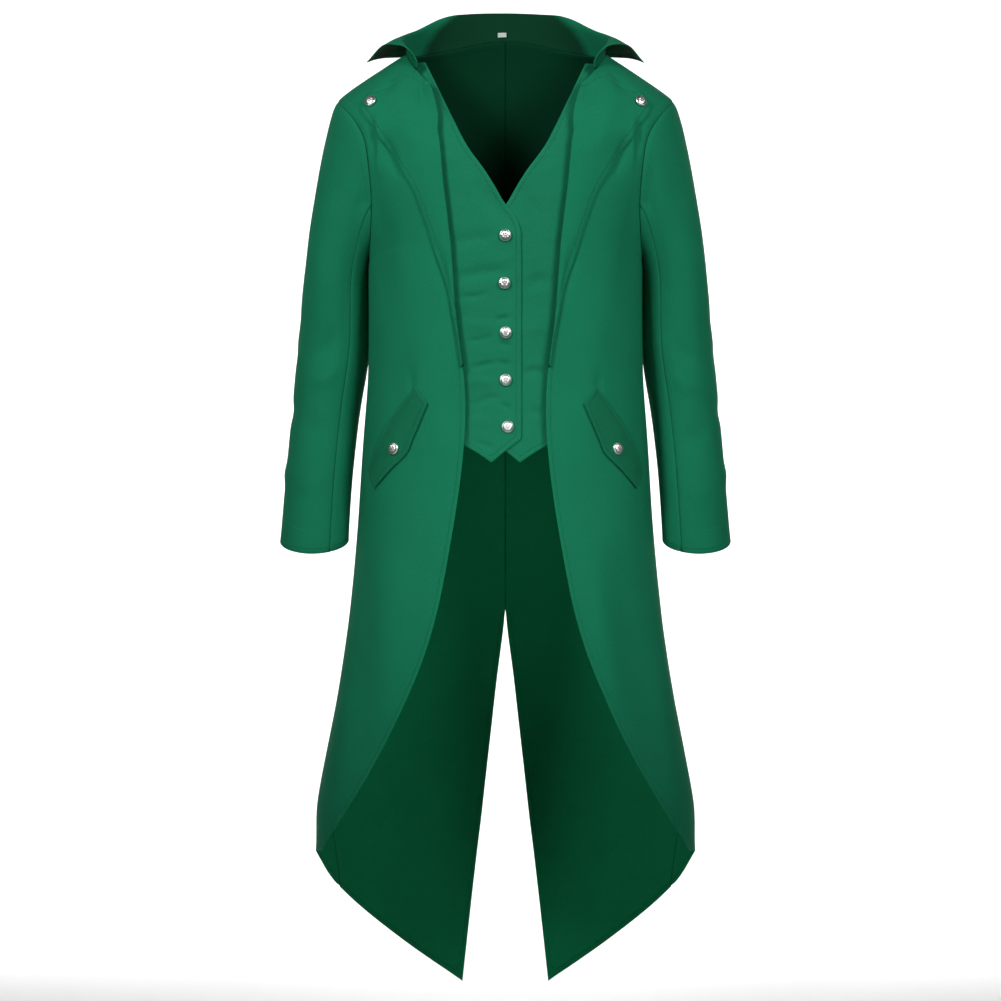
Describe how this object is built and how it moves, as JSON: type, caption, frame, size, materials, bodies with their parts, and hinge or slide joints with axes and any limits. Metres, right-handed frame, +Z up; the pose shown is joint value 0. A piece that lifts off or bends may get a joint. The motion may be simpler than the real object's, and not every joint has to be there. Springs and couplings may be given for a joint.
{
  "type": "tailcoat with false waistcoat front",
  "caption": "Long cutaway tailcoat in green cloth with rolled collar, wide buttoned lapels, slanting flaps and a waistcoat front, worn open and hollow.",
  "frame": {"origin": "between the shoulders, on the middle plane, at the height where the coat rests on its wearer", "axes": "+Z up, along the coat's length; -Y towards the front that shows; +X to the viewer's right, so the node names' left is the viewer's left"},
  "size_m": [0.597, 0.2595, 1.3273],
  "materials": {
    "coat_cloth": "matt, fine twill",
    "waistcoat_cloth": "matt, fine twill",
    "flap_cloth": "matt, fine twill",
    "button_metal": "silver, satin",
    "label_cloth": "pale woven tape"
  },
  "bodies": {
    "root": {"front_left": "coat_cloth", "front_right": "coat_cloth", "back_left": "coat_cloth", "back_right": "coat_cloth", "lapel_left": "coat_cloth", "lapel_right": "coat_cloth", "flap_left": "flap_cloth", "flap_right": "flap_cloth", "waistcoat_left": "waistcoat_cloth", "waistcoat_right": "waistcoat_cloth", "sleeve_under_left": "coat_cloth", "sleeve_under_right": "coat_cloth", "sleeve_top_left": "coat_cloth", "sleeve_top_right": "coat_cloth", "collar": "coat_cloth", "neck_label": "label_cloth", "button_lapel_left": "button_metal", "button_lapel_right": "button_metal", "button_flap_left": "button_metal", "button_flap_right": "button_metal", "button_waistcoat_1": "button_metal", "button_waistcoat_2": "button_metal", "button_waistcoat_3": "button_metal", "button_waistcoat_4": "button_metal", "button_waistcoat_5": "button_metal"}
  },
  "joints": []
}
